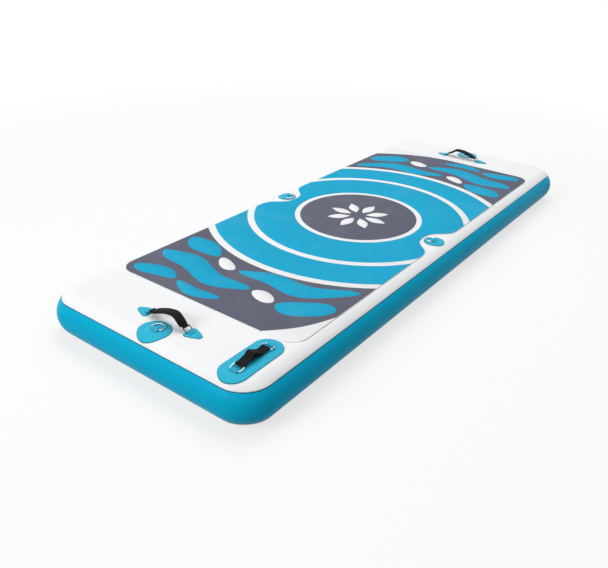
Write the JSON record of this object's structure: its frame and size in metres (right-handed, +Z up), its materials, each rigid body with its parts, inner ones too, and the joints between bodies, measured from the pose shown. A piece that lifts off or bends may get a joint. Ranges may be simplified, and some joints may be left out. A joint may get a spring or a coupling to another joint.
{
  "type": "floating fitness mat",
  "caption": "Inflatable drop-stitch floating mat with a foam deck pad, carry handles, D-rings on round patches and a hook-and-loop paddle strap.",
  "frame": {"origin": "middle of the underside, where the mat rests", "axes": "+Z up, +Y along the mat away from the end with the paddle strap, +X towards the strap's side"},
  "size_m": [0.9098, 2.4398, 0.197],
  "materials": {
    "white_skin": "satin PVC-coated fabric with a fine weave",
    "teal_skin": "satin PVC-coated fabric",
    "white_foam": "matt closed-cell foam with fine grooves",
    "teal_foam": "matt closed-cell foam with fine grooves",
    "grey_foam": "matt closed-cell foam with fine grooves",
    "patch_teal": "satin PVC",
    "anchor_teal": "PVC-coated webbing",
    "black_webbing": "woven",
    "black_wire": "semi-gloss coating",
    "steel": "polished",
    "yarn": "spun polyester",
    "valve_plastic": "moulded, fine texture",
    "rubber": "matt"
  },
  "bodies": {
    "root": {"bottom_skin": "white_skin", "centre_disc": "grey_foam", "deck_pad": "white_foam", "drop_thread": "yarn", "end_panel_far": "grey_foam", "end_panel_near": "grey_foam", "far_d_ring_anchor": "anchor_teal", "far_d_ring_patch": "patch_teal", "far_handle_anchor_left": "anchor_teal", "far_handle_anchor_right": "anchor_teal", "far_handle_end_loop_left": "black_webbing", "far_handle_end_loop_right": "black_webbing", "far_handle_patch_left": "patch_teal", "far_handle_patch_right": "patch_teal", "far_handle_ring_left": "black_wire", "far_handle_ring_right": "black_wire", "inner_band": "teal_foam", "left_d_ring_anchor": "anchor_teal", "left_d_ring_patch": "patch_teal", "near_d_ring_anchor": "anchor_teal", "near_d_ring_patch": "patch_teal", "near_handle_anchor_left": "anchor_teal", "near_handle_anchor_right": "anchor_teal", "near_handle_end_loop_left": "black_webbing", "near_handle_end_loop_right": "black_webbing", "near_handle_patch_left": "patch_teal", "near_handle_patch_right": "patch_teal", "near_handle_ring_left": "black_wire", "near_handle_ring_right": "black_wire", "outer_band_far": "teal_foam", "outer_band_near": "teal_foam", "right_d_ring_anchor": "anchor_teal", "right_d_ring_patch": "patch_teal", "side_wall": "teal_skin", "strap_anchor_far": "anchor_teal", "strap_anchor_near": "anchor_teal", "strap_patch": "patch_teal", "top_skin": "white_skin", "valve_body": "valve_plastic", "valve_boot": "patch_teal", "valve_gasket": "rubber", "valve_nut": "valve_plastic"},
    "near_handle": {"near_handle_webbing": "black_webbing", "near_handle_sleeve": "black_webbing"},
    "far_handle": {"far_handle_webbing": "black_webbing", "far_handle_sleeve": "black_webbing"},
    "near_d_ring": {"near_d_ring": "steel"},
    "far_d_ring": {"far_d_ring": "steel"},
    "left_d_ring": {"left_d_ring": "steel"},
    "right_d_ring": {"right_d_ring": "steel"},
    "strap_near_half": {"strap_ring_near": "steel", "strap_near": "black_webbing", "strap_loop_pad": "black_webbing"},
    "strap_far_half": {"strap_ring_far": "steel", "strap_far": "black_webbing", "strap_hook_pad": "black_webbing"},
    "cap_carrier": {"cap_seal": "rubber"},
    "cap": {"valve_cap": "valve_plastic"},
    "plunger": {"valve_plunger": "valve_plastic", "valve_spring": "steel"}
  },
  "joints": [
    {"name": "near_handle_flop", "type": "hinge", "parent": "root", "child": "near_handle", "pos_m": [0.012, -1.08, 0.166], "axis": [1, 0, 0], "range_deg": [-75, 75]},
    {"name": "far_handle_flop", "type": "hinge", "parent": "root", "child": "far_handle", "pos_m": [-0.008, 1.035, 0.166], "axis": [1, 0, 0], "range_deg": [-75, 75]},
    {"name": "near_d_ring_swing", "type": "hinge", "parent": "root", "child": "near_d_ring", "pos_m": [0.012, -1.133, 0.1557], "axis": [1, 0, 0], "range_deg": [0, 150]},
    {"name": "far_d_ring_swing", "type": "hinge", "parent": "root", "child": "far_d_ring", "pos_m": [-0.008, 1.092, 0.1557], "axis": [-1, 0, 0], "range_deg": [0, 150]},
    {"name": "right_d_ring_swing", "type": "hinge", "parent": "root", "child": "right_d_ring", "pos_m": [0.361, -0.02, 0.1557], "axis": [0, 1, 0], "range_deg": [0, 150]},
    {"name": "left_d_ring_swing", "type": "hinge", "parent": "root", "child": "left_d_ring", "pos_m": [-0.361, -0.02, 0.1557], "axis": [0, -1, 0], "range_deg": [0, 150]},
    {"name": "strap_near_lift", "type": "hinge", "parent": "root", "child": "strap_near_half", "pos_m": [0.333, -1.138, 0.15545], "axis": [1, 0, 0], "range_deg": [0, 110]},
    {"name": "strap_far_lift", "type": "hinge", "parent": "root", "child": "strap_far_half", "pos_m": [0.333, -0.985, 0.15545], "axis": [-1, 0, 0], "range_deg": [0, 55]},
    {"name": "cap_pull", "type": "slide", "parent": "root", "child": "cap_carrier", "axis": [0, 1, 0], "range_m": [0, 0.02]},
    {"name": "cap_turn", "type": "hinge", "parent": "cap_carrier", "child": "cap", "pos_m": [-0.22, 1.22, 0.075], "axis": [0, 1, 0], "range_deg": [0, 90]},
    {"name": "plunger_press", "type": "slide", "parent": "root", "child": "plunger", "axis": [0, -1, 0], "range_m": [0, 0.004], "stiffness_N_per_m": 200}
  ],
  "couplings": [
    {"joint": "strap_far_lift", "follows": "strap_near_lift", "ratio": 0.5}
  ]
}
